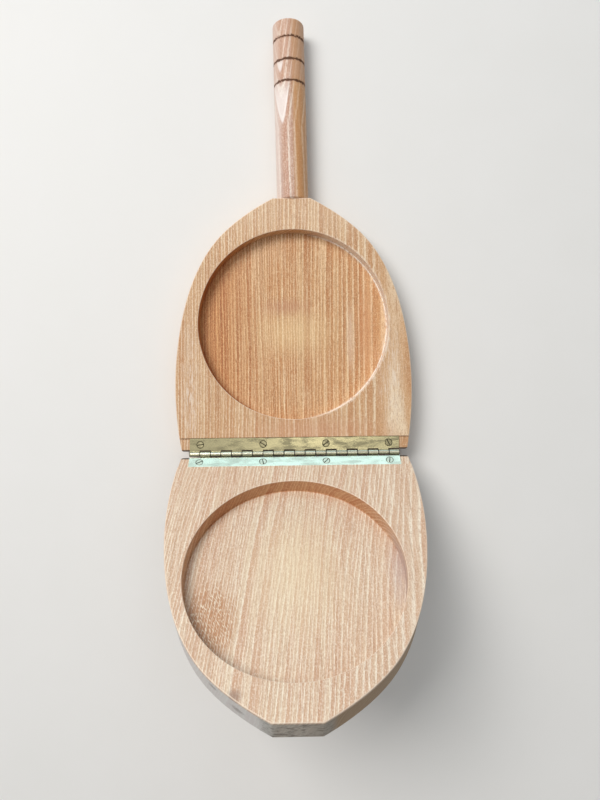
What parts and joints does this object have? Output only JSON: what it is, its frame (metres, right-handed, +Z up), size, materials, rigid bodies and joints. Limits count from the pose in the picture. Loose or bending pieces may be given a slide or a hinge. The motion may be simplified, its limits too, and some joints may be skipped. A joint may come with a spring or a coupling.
{
  "type": "hinged wooden press",
  "caption": "Two hinged egg-shaped wooden boards with facing round pockets that press food flat, with a brass piano hinge and a dowel handle.",
  "frame": {"origin": "on the base board's flat underside, straight below the middle of its pocket", "axes": "+Y towards the handle's free end, +Z up out of the base board's pocket, hinge pin parallel to X; lid shown raised 43.6 degrees from lying open flat"},
  "size_m": [0.2268, 0.6206, 0.1973],
  "materials": {
    "base_wood": "smooth sanded, oiled, straight fine grain",
    "lid_wood": "smooth sanded, paler, grain leaning a little",
    "handle_wood": "turned and sanded dowel with three burned rings",
    "hinge_brass": "dull rolled brass, slightly tarnished",
    "screw_brass": "slotted countersunk head, slightly tarnished",
    "pin_steel": "plain drawn wire"
  },
  "bodies": {
    "base": {"handle_half": "base_wood", "handle": "handle_wood", "hinge_leaf_base": "hinge_brass", "hinge_pin": "pin_steel", "base_screw_1": "screw_brass", "base_screw_2": "screw_brass", "base_screw_3": "screw_brass", "base_screw_4": "screw_brass"},
    "lid": {"lid_half": "lid_wood", "hinge_leaf_lid": "hinge_brass", "lid_screw_1": "screw_brass", "lid_screw_2": "screw_brass", "lid_screw_3": "screw_brass", "lid_screw_4": "screw_brass"}
  },
  "joints": [
    {"name": "lid_hinge", "type": "hinge", "parent": "base", "child": "lid", "pos_m": [0, -0.124, 0.02915], "axis": [-1, 0, 0], "range_deg": [-43.6, 136.4]}
  ]
}
